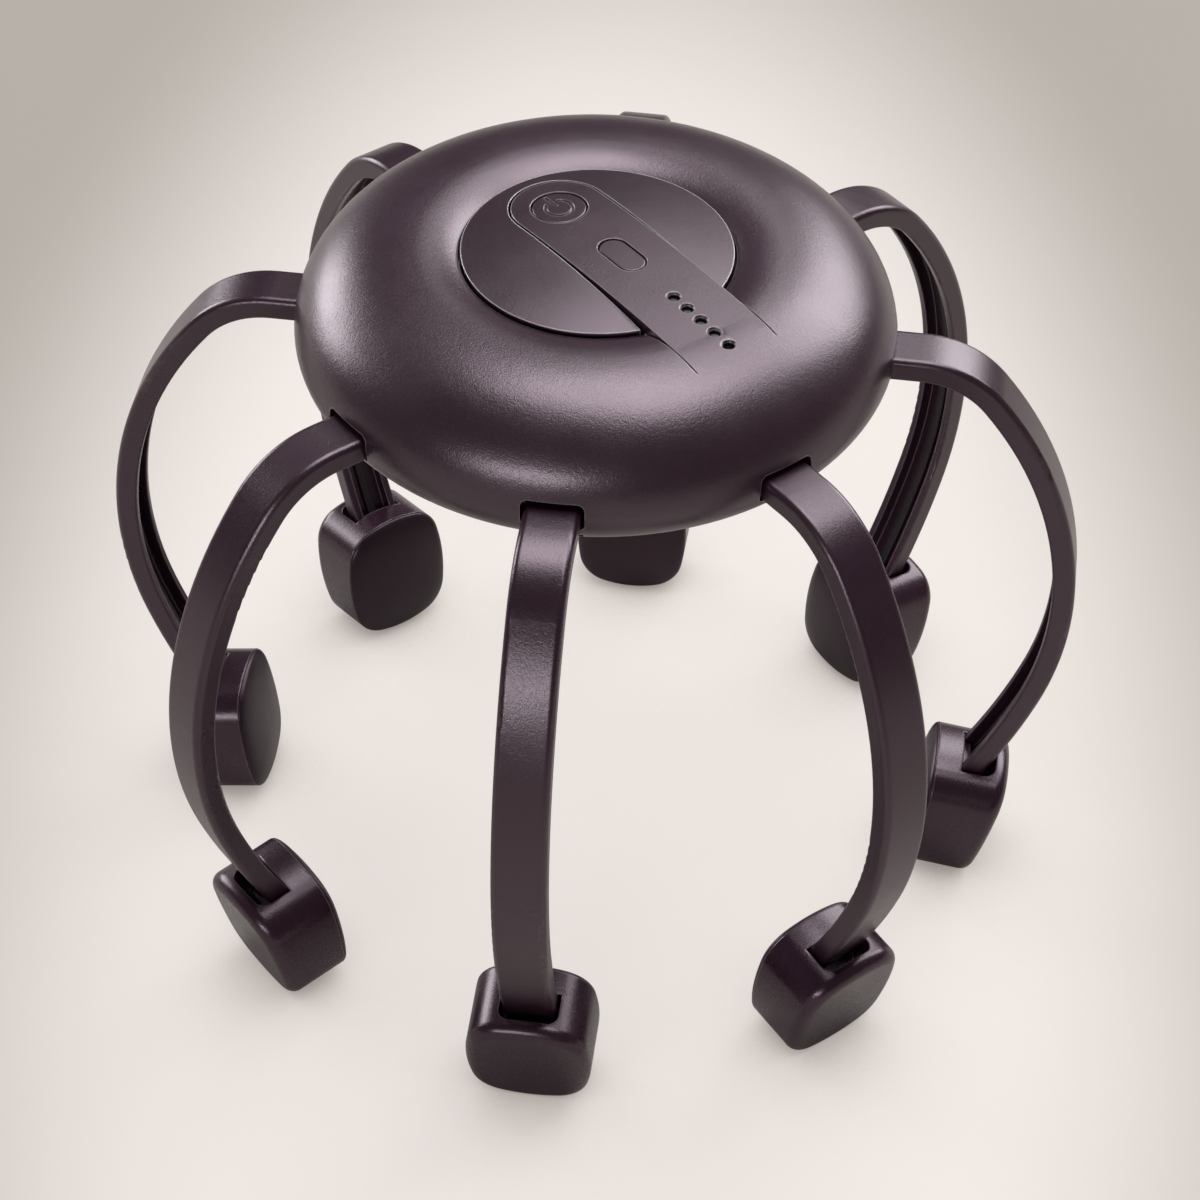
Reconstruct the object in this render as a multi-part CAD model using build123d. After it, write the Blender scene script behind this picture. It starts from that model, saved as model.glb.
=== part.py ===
"""Eight-armed electric scalp massager: a puffy round housing on eight curved arms with vibrating heads.

Millimetres, +Z up. The origin is on the surface that the heads stand on, under the housing's centre.
Every function builds its piece with z = 0 at the housing's widest circle (the rim) and, for what
repeats, with the arm along +X. save() lifts the finished piece by rim_height.
"""
from build123d import *
import os
from math import cos, pi, radians, sin, sqrt, tan

os.makedirs("parts", exist_ok=True)

# ---- housing -------------------------------------------------------------------------------------
rim_radius = 60.0            # widest circle of the housing
crown_radius = 35.5          # circle along the top of the puffy ring
crown_rise = 18.7            # crown above the rim
belly_drop = 15.1            # flat underside below the rim
valley_reach = 11.0          # inner slope of the ring: half axes of its quarter ellipse
valley_drop = 6.0
wall = 2.4                   # housing wall
parting_drop = 8.0           # joint between the covers, below the rim
lip_height = 2.0             # centring lip on the bottom cover
lip_wall = 1.0
lip_gap = 0.15

# ---- centre disc ---------------------------------------------------------------------------------
disc_radius = 26.9
disc_gap = 0.5               # open line around the disc and along the control strip
disc_edge_rise = 17.6        # top of the disc's edge, above the rim
disc_dome = 1.9              # how far the middle of the disc stands above its edge
disc_height = 3.2            # edge of the disc, from its seat to its top
disc_skin = 2.0
disc_side = 1.8
floor_wall = 2.2             # recess floor that carries the disc
peg_radius = 1.4
peg_ring = 22.0
peg_gap = 0.1
peg_spread = 32.0            # degrees of a peg from the line square to the strip

# ---- control strip -------------------------------------------------------------------------------
strip_angle = -45.0          # the strip points at the front right arm
strip_width = 19.2
strip_offset = 1.2           # strip centre line, to the left of the line through the housing's centre
strip_tip = 23.9             # rounded end, behind the centre
strip_end = 39.0             # where the strip sinks into the crown, in front of the centre
strip_rise = 19.6            # highest line across the strip, above the rim
strip_high = 10.0            # where that line is, along the strip
strip_bend = 355.5           # radius of the strip's arch along its length
strip_skin = 2.0
strip_side = 1.8
groove_width = 0.3           # lines along the strip's edges that run out on the crown
groove_ends = ((26.0, 16.9), (42.3, 17.66))   # start and end of their floor: along the strip, height

# ---- buttons -------------------------------------------------------------------------------------
button_gap = 0.35
button_travel = 0.5
button_flange = 1.0          # flange past the button's edge, under the skin
button_flange_thickness = 0.9
button_play = 0.05           # flange under the skin at rest
power_radius = 5.4
power_place = -14.2          # along the strip, from the housing's centre
symbol_radius = 2.75
symbol_line = 0.65
symbol_depth = 0.3
mode_length = 11.2
mode_width = 5.6
mode_place = 6.4
stem_radius = 1.5
button_round = 0.25
button_sink = 0.1            # cap below the strip's top

# ---- circuit board -------------------------------------------------------------------------------
board_thickness = 1.6
board_top = 6.0              # above the rim
board_tail = 26.0            # ends of the board, along the strip
board_nose = 41.6
board_width = 26.0
board_corner = 5.0
post_radius = 2.2
post_pin_radius = 0.9
post_pin_gap = 0.1
post_side = 10.9             # posts from the strip's line
post_places = (-18.0, 18.0)
switch_size = 6.0
switch_height = 3.4
switch_body_height = 2.4
switch_nub_radius = 1.6
led_first = 22.7             # first indicator, along the strip
led_pitch = 4.2
led_count = 5
led_radius = 1.15            # hole in the skin
led_chamfer = 0.35
light_pipe_gap = 0.08
light_pipe_sink = 0.9        # top of a light pipe below the skin
led_chip_size = 1.6
led_chip_height = 0.7
light_pipe_clear = 0.1
light_pipe_collar = 1.7
light_pipe_drop = 0.6        # collar under the skin
chip_size = 7.0
chip_height = 1.0
chip_place = -4.5

# ---- battery and charging port -------------------------------------------------------------------
battery_length = 42.0
battery_width = 30.0
battery_height = 7.6
battery_corner = 2.0
frame_gap = 0.4
frame_wall = 1.4
frame_height = 4.5
battery_lead_angle = 157.5   # between two arms' leads
battery_lead_radius = 15.0
port_angle = 67.5            # between the back and back right arms
port_width = 8.94
port_height = 3.26
port_depth = 7.4
port_shell = 0.3
port_tongue_thickness = 0.7
port_back = 0.8
port_board_inset = 2.7
port_inset = 0.9             # mouth of the port inside the rim
port_gap = 0.35
port_rise = 1.0              # middle of the port above the rim
port_board_thickness = 1.0
port_board_width = 12.4
port_board_length = 9.6
port_shelf = 2.0

# ---- arms ----------------------------------------------------------------------------------------
arm_count = 8
arm_width = 10.8
arm_depth = 4.7
arm_floor = 1.9              # floor of the channel
arm_flange = 1.75            # side flanges of the channel
arm_outer_round = 1.3
arm_inner_round = 0.5
arm_rise = 1.2               # outer face above the rim, at the root
arm_straight = 5.3           # straight root outside the rim, before the bends
arm_bends = ((21.8, 50.2), (84.0, 58.7), (157.0, 11.7))   # radius and turn of each bend
channel_start = 18.0         # degrees of turn where the channel begins
hinge_inset = 5.4            # hinge of the arm, in from the rim
root_behind = 5.4            # root behind its hinge
trunnion_radius = 1.5
trunnion_length = 1.5
hinge_gap = 0.05
ear_gap = 0.2
ear_wall = 1.9
ear_reach = 2.4              # ear past the hinge line, inwards and downwards
slot_side = 0.7
slot_above = 1.45
slot_below = 0.6
slot_round = 1.6
stop_gap = 0.05              # root under the stop rib, at rest

# ---- leads ---------------------------------------------------------------------------------------
lead_width = 2.2
lead_height = 0.8
lead_gap = 0.05
duct_gap = 0.2
lead_rise_radius = 10.0      # where the leads turn up to the circuit board
lead_break = 1.0             # in the lead at the arm's hinge

# ---- star spring ---------------------------------------------------------------------------------
spring_thickness = 0.5
spring_gap = 0.1             # spring under the arm roots at rest
spring_inner = 28.0
spring_outer = 32.5
spring_finger = 6.0
spring_lug = 9.0
spring_overlap = 1.3         # finger under the root

# ---- cover screws --------------------------------------------------------------------------------
boss_ring = 45.0
boss_radius = 3.6
boss_count = 4
screw_radius = 1.25
screw_fit = 0.02
screw_hole_gap = 0.25
screw_bite = 7.0             # screw in the top cover's boss
screw_spare = 0.5            # bore past the screw's end
screw_head_radius = 2.3
screw_head_height = 1.6
screw_head_gap = 0.3
screw_seat = 2.0             # post left under the screw's head
driver_cross = (2.6, 0.6, 0.8)   # length, width and depth of the cross in the head

# ---- heads ---------------------------------------------------------------------------------------
head_width = 26.0
head_height = 29.4
head_side_bulge = 1.9        # how far the sides and ends of the outline bow out
head_end_bulge = 2.6
head_corner = 8.0
head_inner = 5.8             # inner rim and outer face, from the head's middle
head_outer = 9.0
head_lean = 8.5              # the head's axis tips down outwards
head_wedge = 6.5             # further lean of the outer face
head_round = 2.6
head_wall = 1.9
head_outwards = 2.95         # head's middle from the arm's tip: outwards and down the tip's line
head_below = 6.4
socket_depth = 8.5
socket_outer_gap = 2.1
socket_inner_gap = 0.15
socket_side_gap = 0.75
socket_round = 2.3
socket_wall = 1.5
tip_gap = 0.05
tongue_gap = 0.15
foot_flat = 0.35             # depth of the flat that the head stands on

# ---- scalp pads ----------------------------------------------------------------------------------
pad_lip = 0.9                # shell's edge around the pad
pad_gap = 0.1
pad_thickness = 2.4
pad_dome = 2.8

# ---- vibration motors ----------------------------------------------------------------------------
motor_radius = 3.0
motor_length = 11.0
motor_shift = -3.4           # middle of the motor's can, along its axis
motor_below = 4.2            # motor's axis below the head's middle, and out from it
motor_out = 1.4
motor_fit = 0.05
saddle_width = 8.0
saddle_wall = 0.9
shaft_radius = 0.4
shaft_fit = 0.05
shaft_inside = 4.0
weight_radius = 2.8
weight_length = 4.0
weight_gap = 0.5

# ---- values that follow --------------------------------------------------------------------------
floor_rise = disc_edge_rise - disc_height                     # recess floor above the rim
recess_radius = disc_radius + disc_gap
crown_z = crown_rise - valley_drop                            # centre of the inner slope's ellipse
tube = rim_radius - crown_radius
root_z = arm_rise                                             # outer face of the root
pivot_radius = rim_radius - hinge_inset                       # hinge of the arm, from the axis
arm_tail = pivot_radius - root_behind                         # inner end of the root
arm_straight_end = rim_radius + arm_straight                  # where the first bend starts
hinge_z = root_z - arm_depth / 2
stop_z = root_z + stop_gap                                    # underside of the stop ribs
spring_z = root_z - arm_depth - spring_gap                    # top of the star spring
dome_radius = (disc_radius ** 2 + disc_dome ** 2) / (2 * disc_dome)
led_places = [led_first + led_pitch * i for i in range(led_count)]
channel_width = arm_width - 2 * arm_flange
pad_half_height = head_height / 2 - pad_lip - pad_gap
arm_angles = [-90 + 360 / arm_count * i for i in range(arm_count)]
boss_angles = [22.5 + 360 / boss_count * i for i in range(boss_count)]
strip_line = Rot(0, 0, strip_angle) * Pos(0, strip_offset, 0)
strip_turn = Rot(0, 0, strip_angle)
switch_top = board_top + switch_height
post_top = spring_z - spring_thickness                        # bottom cover's screw posts
screw_head_seat = post_top - screw_seat                       # under the screws' heads
lead_z = root_z - arm_floor - lead_gap                        # upper face of a lead in an arm's root
port_board_top = -port_height / 2                             # in the port's frame


# ---- the arm's curve -----------------------------------------------------------------------------
def arm_arcs():
    """Each bend as (centre x, centre z, radius, first heading, last heading); heading 0 is outwards."""
    arcs = []
    x, z, heading = arm_straight_end, root_z, 0.0
    for radius, turn in arm_bends:
        cx = x - radius * sin(radians(heading))
        cz = z - radius * cos(radians(heading))
        arcs.append((cx, cz, radius, heading, heading + turn))
        heading += turn
        x = cx + radius * sin(radians(heading))
        z = cz + radius * cos(radians(heading))
    return arcs


arm_tip_heading = sum(turn for radius, turn in arm_bends)


def arm_point(heading, depth):
    """Point of the arm at a heading, a depth in from its outer face."""
    for cx, cz, radius, first, last in arm_arcs():
        if heading <= last + 1e-9:
            break
    reach = radius - depth
    return (cx + reach * sin(radians(heading)), 0, cz + reach * cos(radians(heading)))


def arm_line(depth, start_x, first, last):
    """Edges along the arm at a depth, from start_x or from the first heading, to the last heading."""
    edges = []
    if start_x is not None:
        edges.append(Line((start_x, 0, root_z - depth), (arm_straight_end, 0, root_z - depth)))
    for cx, cz, radius, low, high in arm_arcs():
        low, high = max(low, first), min(high, last)
        if high - low > 1e-6:
            ends = [arm_point(low, depth), arm_point((low + high) / 2, depth), arm_point(high, depth)]
            edges.append(ThreePointArc(*ends))
    return edges


def arm_band(outer, inner, width, first=0.0, last=arm_tip_heading, start_x=None):
    """Solid between two depths of the arm's curve, of a width across the arm."""
    top = arm_line(outer, start_x, first, last)
    bottom = arm_line(inner, start_x, first, last)
    ends = [Line(top[0] @ 0, bottom[0] @ 0), Line(top[-1] @ 1, bottom[-1] @ 1)]
    face = make_face(top + bottom + ends)
    return extrude(face, amount=width / 2, dir=(0, 1, 0), both=True)


def depth_in_arm(point):
    """How deep a point lies in from the arm's outer face."""
    if point.X <= arm_straight_end:
        return root_z - point.Z
    for cx, cz, radius, first, last in arm_arcs():
        along = (point.X - cx) * cos(radians(last)) - (point.Z - cz) * sin(radians(last))
        if along <= 1e-3:
            break
    return radius - sqrt((point.X - cx) ** 2 + (point.Z - cz) ** 2)


# ---- the head's frame ----------------------------------------------------------------------------
tip = arm_point(arm_tip_heading, arm_depth / 2)
tip_dx = cos(radians(arm_tip_heading))
tip_dz = -sin(radians(arm_tip_heading))
head_x = tip[0] - head_outwards * tip_dz + head_below * tip_dx
head_z = tip[2] + head_outwards * tip_dx + head_below * tip_dz
head_plane = Plane(
    origin=(head_x, 0, head_z),
    x_dir=(0, 1, 0),
    z_dir=(cos(radians(head_lean)), 0, -sin(radians(head_lean))),
)


def head_point(up, out):
    """Point in the head's middle plane: up along its outer face, out along its axis."""
    return head_plane.from_local_coords(Vector(0, up, out))


motor_point = head_point(-motor_below, motor_out)
foot_up = -head_height / 2 + head_round
foot_out = head_outer + foot_up * tan(radians(head_wedge)) - head_round / cos(radians(head_wedge))
rim_height = head_round - foot_flat - head_point(foot_up, foot_out).Z
floor_z = -rim_height


# ---- housing -------------------------------------------------------------------------------------
def area(x0, x1, z0, z1):
    """Rectangle of a half section: x from the axis, z drawn along Y."""
    return Pos((x0 + x1) / 2, (z0 + z1) / 2) * Rectangle(x1 - x0, z1 - z0)


def turned(section):
    """Solid of revolution of a half section about the housing's axis."""
    return revolve(Plane.XZ * section, Axis.Z)


def housing_section(inset, floor):
    """Half section of the housing, an inset in from its outside, and a floor below the disc's recess."""
    centre = Pos(crown_radius, 0)
    over = centre * Ellipse(tube - inset, crown_rise - inset)
    under = centre * Ellipse(tube - inset, belly_drop - inset)
    slope = Pos(crown_radius, crown_z) * Ellipse(valley_reach - inset, valley_drop - inset)
    section = over & area(crown_radius, rim_radius, 0, crown_rise)
    section += under & area(crown_radius, rim_radius, -belly_drop, 0)
    section += area(0, crown_radius, inset - belly_drop, crown_z)
    section += slope & area(recess_radius + inset, crown_radius, crown_z, crown_rise)
    return section - area(0, recess_radius + inset, floor_rise - floor, crown_rise)


housing = turned(housing_section(0, 0))
cavity = turned(housing_section(wall, floor_wall))


def strip_outline(grow):
    """Plan of the control strip, grown by a gap: round at the tip, square at the crown."""
    half = strip_width / 2
    start = half - strip_tip
    bar = Pos((start + strip_end) / 2, 0) * Rectangle(strip_end - start, 2 * (half + grow))
    return bar + Pos(start, 0) * Circle(half + grow)


def strip_height(place):
    """Top of the strip above the rim at a place along it."""
    return strip_rise - strip_bend + sqrt(strip_bend ** 2 - (place - strip_high) ** 2)


def under_strip(depth, base):
    """Slab below the strip's curved top, a depth down, from a base height."""
    far = -strip_tip - disc_gap
    places = (far, (far + strip_end) / 2, strip_end)
    arc = ThreePointArc(*[(place, 0, strip_height(place) - depth) for place in places])
    edges = [
        arc,
        Line(arc @ 1, (strip_end, 0, base)),
        Line((strip_end, 0, base), (far, 0, base)),
        Line((far, 0, base), arc @ 0),
    ]
    return extrude(make_face(edges), amount=strip_width, dir=(0, 1, 0), both=True)


def strip_bar(depth, shrink, base):
    """The strip's bar, or what is hollow in it, in the strip's own frame."""
    plan = Pos(0, 0, base) * strip_outline(-shrink)
    return extrude(plan, amount=strip_rise - base) & under_strip(depth, base)


def strip_groove(side):
    """Line along one edge of the strip, in the strip's own frame."""
    corners = [(x, 0, z) for x, z in groove_ends]
    corners += [(x, 0, strip_rise + 1) for x, z in reversed(groove_ends)]
    face = make_face(Polyline(*corners, close=True))
    plate = extrude(face, amount=groove_width / 2, dir=(0, 1, 0), both=True)
    return Pos(0, side * (strip_width + groove_width) / 2, 0) * plate


def at_arm(angle):
    """Turn about the housing's axis, from +X to an angle seen from above."""
    return Rot(0, 0, angle)


def ear_block(half_width, z_high):
    """Block at an arm's root, from the hinge line's inner side into the wall."""
    low = hinge_z - ear_reach
    start = pivot_radius - ear_reach
    length = rim_radius - 1.2 - start
    return Pos(start + length / 2, 0, (low + z_high) / 2) * Box(length, 2 * half_width, z_high - low)


def root_mount():
    """Ears and stop rib that hold one arm's root, moulded inside the top cover."""
    half_width = arm_width / 2 + ear_gap + ear_wall
    ears = ear_block(half_width, crown_rise)
    length = pivot_radius - ear_reach - arm_tail
    height = crown_rise - stop_z
    rib = Pos(arm_tail + length / 2, 0, stop_z + height / 2) * Box(length, 2 * half_width, height)
    return ears + rib


def root_clearance():
    """Space that one arm's root needs between the ears, and the bores of its hinge."""
    half_in = arm_width / 2 + ear_gap
    start = pivot_radius - ear_reach - 1
    top = root_z + slot_above
    inside = rim_radius - wall - start
    space = Pos(start + inside / 2, 0, 0) * Box(
        inside, 2 * half_in, 2 * rim_radius, align=(Align.CENTER, Align.CENTER, Align.MAX)
    )
    space = Pos(0, 0, top) * space
    bore = Pos(pivot_radius, 0, hinge_z) * Rot(90, 0, 0) * Cylinder(
        trunnion_radius + hinge_gap, arm_width + 2 * (ear_gap + ear_wall) + 1
    )
    return space + bore


def arm_slot():
    """Rounded opening in the wall for one arm."""
    low = root_z - arm_depth - slot_below
    high = root_z + slot_above
    width = arm_width + 2 * slot_side
    plan = Plane.YZ * Pos(0, (low + high) / 2) * RectangleRounded(width, high - low, slot_round)
    return Pos(pivot_radius, 0, 0) * extrude(plan, amount=rim_radius)


def screw_boss():
    """Boss for a cover screw, from the crown down to the star spring."""
    height = crown_rise - spring_z
    return Pos(boss_ring, 0, spring_z + height / 2) * Cylinder(boss_radius, height)


def screw_bore():
    depth = screw_bite + screw_spare
    return Pos(boss_ring, 0, spring_z + depth / 2) * Cylinder(screw_radius + screw_fit, depth)


def post_sites():
    """Places of the circuit board's posts, in the strip's frame."""
    return [(place, side) for place in post_places for side in (-post_side, post_side)]


def board_posts():
    """Shouldered posts under the recess floor; their pins pass through the circuit board."""
    under_floor = floor_rise - floor_wall / 2
    posts = []
    for place, side in post_sites():
        height = under_floor - board_top
        posts.append(Pos(place, side, board_top + height / 2) * Cylinder(post_radius, height))
        pin = board_thickness + 0.8
        posts.append(Pos(place, side, board_top - pin / 2 + 0.2) * Cylinder(post_pin_radius, pin + 0.4))
    return posts


def peg_sites():
    """Places of the disc's pegs, in the strip's frame."""
    sites = []
    for turn in (90 - peg_spread, 90 + peg_spread, 270 - peg_spread, 270 + peg_spread):
        sites.append((peg_ring * cos(radians(turn)), peg_ring * sin(radians(turn))))
    return sites


def port_frame():
    """Frame of the charging port: its mouth at the rim, at the port's height."""
    return at_arm(port_angle) * Pos(rim_radius - port_inset, 0, port_rise)


def port_shelf_block():
    """Shelf under the port's board, grown out of the wall."""
    top = port_board_top - port_board_thickness
    length = port_board_length + 1
    block = Pos(-length / 2, 0, top - port_shelf / 2) * Box(length, port_board_width + 1, port_shelf)
    return block


def led_hole(place):
    """Hole for a light pipe, with a chamfered mouth."""
    top = strip_height(place)
    mouth = led_radius + led_chamfer
    hole = Pos(place, 0, top) * Cylinder(led_radius, 4 * strip_skin + 4)
    cone = Pos(place, 0, top - led_chamfer / 2 + 0.05) * Cone(led_radius, mouth + 0.1, led_chamfer + 0.1)
    return hole + cone


def port_opening():
    width = port_width + 2 * port_gap
    height = port_height + 2 * port_gap
    plan = Plane.YZ * RectangleRounded(width, height, port_height / 2)
    return Pos(-port_depth, 0, 0) * extrude(plan, amount=port_depth + 3)


def button_holes():
    """Openings in the strip for the two buttons, in the strip's frame."""
    top = strip_height(power_place)
    power = Pos(power_place, 0, top) * Cylinder(power_radius + button_gap, 3 * strip_skin)
    base = Pos(mode_place, 0, strip_height(mode_place) - 2 * strip_skin)
    slot = SlotOverall(mode_length + 2 * button_gap, mode_width + 2 * button_gap)
    mode = extrude(base * slot, amount=4 * strip_skin)
    return [power, mode]


def top_cover():
    """Upper shell with the control strip's bar and all that it carries inside."""
    shell = housing - cavity & turned(area(0, rim_radius + 1, -parting_drop, crown_rise + 1))
    shell += strip_line * strip_bar(0, 0, floor_rise - floor_wall)
    shell -= strip_line * strip_bar(strip_skin, strip_side, floor_rise - floor_wall - 1)
    openings = button_holes() + [led_hole(place) for place in led_places]
    for hole in openings + [strip_groove(-1), strip_groove(1)]:
        shell -= strip_line * hole
    peg_hole = Cylinder(peg_radius + peg_gap, 3 * floor_wall)
    shell -= [strip_line * Pos(x, y, floor_rise) * peg_hole for x, y in peg_sites()]
    within = turned(housing_section(wall / 2, floor_wall / 2))
    mounts = [at_arm(angle) * root_mount() for angle in arm_angles]
    bosses = [at_arm(angle) * screw_boss() for angle in boss_angles]
    shelf = port_frame() * port_shelf_block()
    shell += [block & within for block in mounts + bosses + [shelf]]
    shell += [strip_line * post for post in board_posts()]
    shell -= [at_arm(angle) * root_clearance() for angle in arm_angles]
    shell -= [at_arm(angle) * arm_slot() for angle in arm_angles]
    shell -= [at_arm(angle) * screw_bore() for angle in boss_angles]
    return shell - port_frame() * port_opening()


def lip_section():
    """Half section of the centring lip: joined to the wall below the joint, free above it."""
    joined = area(crown_radius, rim_radius, -parting_drop - lip_height, -parting_drop)
    free = area(crown_radius, rim_radius, -parting_drop, -parting_drop + lip_height)
    lip = housing_section(wall / 2, floor_wall) & joined
    lip += housing_section(wall + lip_gap, floor_wall) & free
    return lip - housing_section(wall + lip_gap + lip_wall, floor_wall)


def bottom_cover():
    """Lower shell with its centring lip, the battery's frame and the screw posts."""
    shell = housing - cavity & turned(area(0, rim_radius, -belly_drop - 1, -parting_drop))
    lip = turned(lip_section())
    within = turned(housing_section(wall / 2, floor_wall / 2))
    base = wall - belly_drop
    outer = RectangleRounded(
        battery_length + 2 * (frame_gap + frame_wall),
        battery_width + 2 * (frame_gap + frame_wall),
        battery_corner + frame_gap + frame_wall,
    )
    inner = RectangleRounded(
        battery_length + 2 * frame_gap, battery_width + 2 * frame_gap, battery_corner + frame_gap
    )
    frame = extrude(Pos(0, 0, base - wall / 2) * (outer - inner), amount=wall / 2 + frame_height)
    posts = []
    bores = []
    height = post_top + belly_drop
    post = Pos(boss_ring, 0, post_top - height / 2) * Cylinder(boss_radius, height)
    bore = Pos(boss_ring, 0, post_top) * Cylinder(screw_radius + screw_hole_gap, 4 * wall)
    well = Cylinder(screw_head_radius + screw_head_gap, height)
    well = Pos(boss_ring, 0, screw_head_seat - height / 2) * well
    for angle in boss_angles:
        posts.append(at_arm(angle) * post & within)
        bores += [at_arm(angle) * bore, at_arm(angle) * well]
    return shell + [lip, strip_turn * frame] + posts - bores


# ---- centre disc ---------------------------------------------------------------------------------
def disc_dome_ball(depth):
    """Ball whose top is the disc's dome, a depth down."""
    return Pos(0, 0, disc_edge_rise + disc_dome - dome_radius) * Sphere(dome_radius - depth)


def centre_disc():
    """Shallow domed disc with a notch for the strip, hollow below, on four pegs."""
    height = disc_edge_rise + disc_dome - floor_rise
    seat = Pos(0, 0, floor_rise)
    plan = Circle(disc_radius) - (strip_line * strip_outline(disc_gap))
    inner = Circle(disc_radius - disc_side) - (strip_line * strip_outline(disc_gap + disc_side))
    blank = extrude(seat * plan, amount=height) & disc_dome_ball(0)
    pockets = extrude(seat * inner, amount=height) & disc_dome_ball(disc_skin)
    pegs = []
    for x, y in peg_sites():
        length = disc_height - 1 + floor_wall
        base = Pos(x, y, floor_rise - floor_wall)
        pegs.append(strip_line * base * Pos(0, 0, length / 2) * Cylinder(peg_radius, length))
        foot = Cylinder(2 * peg_radius, disc_height)
        pegs.append(strip_line * base * Pos(0, 0, floor_wall + disc_height / 2) * foot)
    return (blank - pockets) + pegs


# ---- buttons -------------------------------------------------------------------------------------
def button_body(plan, flange_plan):
    """Cap, flange and stem of a button; plans are in the strip's frame, around the button's middle."""
    middle = plan.center()
    base = strip_height(middle.X) - strip_skin - button_flange_thickness - 2 * button_play
    blank = extrude(Pos(0, 0, base) * plan, amount=strip_rise - base)
    cap = blank & under_strip(button_sink, base)
    cap = fillet(cap.faces().sort_by(Axis.Z)[-1].edges(), button_round)
    blank = extrude(Pos(0, 0, base) * flange_plan, amount=strip_rise - base)
    flange = blank & under_strip(strip_skin + button_play, base)
    stem_end = switch_top + button_travel + button_play
    stem = Pos(middle.X, 0, (stem_end + base) / 2) * Cylinder(stem_radius, base - stem_end)
    return cap + flange + stem


def power_symbol():
    """Open ring with a bar through its gap, pointing to the strip's tip."""
    ring = Circle(symbol_radius + symbol_line / 2) - Circle(symbol_radius - symbol_line / 2)
    gap = Pos(-symbol_radius, 0) * Rectangle(2 * symbol_radius, 4 * symbol_line)
    bar = Pos(-symbol_radius, 0) * SlotOverall(1.5 * symbol_radius, symbol_line)
    return (ring - gap) + bar


def power_button():
    middle = Pos(power_place, 0)
    button = button_body(middle * Circle(power_radius), middle * Circle(power_radius + button_flange))
    base = Pos(power_place, 0, strip_height(power_place) - strip_skin)
    engraving = extrude(base * power_symbol(), amount=2 * strip_skin)
    engraving -= under_strip(button_sink + symbol_depth, board_top)
    return strip_line * (button - engraving)


def mode_button():
    middle = Pos(mode_place, 0)
    flange = SlotOverall(mode_length + 2 * button_flange, mode_width + 2 * button_flange)
    return strip_line * button_body(middle * SlotOverall(mode_length, mode_width), middle * flange)


# ---- circuit board -------------------------------------------------------------------------------
def lead_box(x0, x1, z0, z1, width):
    return Pos((x0 + x1) / 2, 0, (z0 + z1) / 2) * Box(x1 - x0, width, z1 - z0)


def body_lead(start, bottom, top):
    """Flat lead from a place inside the wall, inwards and up to the circuit board, along +X."""
    run = lead_box(lead_rise_radius, start, bottom, bottom + lead_height, lead_width)
    rise = lead_box(lead_rise_radius, lead_rise_radius + lead_height, bottom, top, lead_width)
    return run + rise


def circuit_board():
    """Board with two switches, the indicator chips, the controller and the leads to the arms."""
    length = board_nose + board_tail
    plan = Pos((board_nose - board_tail) / 2, 0) * RectangleRounded(length, board_width, board_corner)
    board_bottom = board_top - board_thickness
    board = extrude(Pos(0, 0, board_bottom) * plan, amount=board_thickness)
    holes = [
        Pos(place, side, board_top - board_thickness / 2)
        * Cylinder(post_pin_radius + post_pin_gap, 2 * board_thickness)
        for place, side in post_sites()
    ]
    pieces = [strip_line * (board - holes)]
    for place in (power_place, mode_place):
        base = Box(switch_size, switch_size, switch_body_height)
        base = Pos(place, 0, board_top + switch_body_height / 2) * base
        nub_height = switch_height - switch_body_height
        nub = Pos(place, 0, switch_top - nub_height / 2) * Cylinder(switch_nub_radius, nub_height)
        pieces.append(strip_line * (base + nub))
    for place in led_places:
        chip = Box(led_chip_size, led_chip_size, led_chip_height)
        pieces.append(strip_line * Pos(place, 0, board_top + led_chip_height / 2) * chip)
    controller = Box(chip_size, chip_size, chip_height)
    pieces.append(strip_line * Pos(chip_place, 0, board_bottom - chip_height / 2) * controller)
    lead = body_lead(arm_tail - lead_break, lead_z - lead_height, board_bottom)
    for angle in arm_angles:
        pieces.append(at_arm(angle) * lead)
    return Compound(children=pieces)


def indicator_lights():
    """Light pipes from the indicator chips to just under the strip's skin."""
    pipes = []
    low = board_top + led_chip_height + light_pipe_clear
    for place in led_places:
        high = strip_height(place) - light_pipe_sink
        pipe = Pos(place, 0, (low + high) / 2) * Cylinder(led_radius - light_pipe_gap, high - low)
        collar_top = min(strip_height(place) - strip_skin, crown_rise - wall) - light_pipe_drop
        collar = Pos(place, 0, (low + collar_top) / 2) * Cylinder(light_pipe_collar, collar_top - low)
        pipes.append(strip_line * (pipe + collar))
    return Compound(children=pipes)


# ---- battery and charging port -------------------------------------------------------------------
def battery():
    """Flat cell in the bottom cover's frame, with its lead up to the circuit board."""
    base = wall - belly_drop
    plan = RectangleRounded(battery_length, battery_width, battery_corner)
    cell = strip_turn * extrude(Pos(0, 0, base) * plan, amount=battery_height)
    top = base + battery_height
    start = battery_lead_radius
    lead = lead_box(start, start + lead_height, top, board_top - board_thickness, lead_width)
    return Compound(children=[cell, at_arm(battery_lead_angle) * lead])


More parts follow.
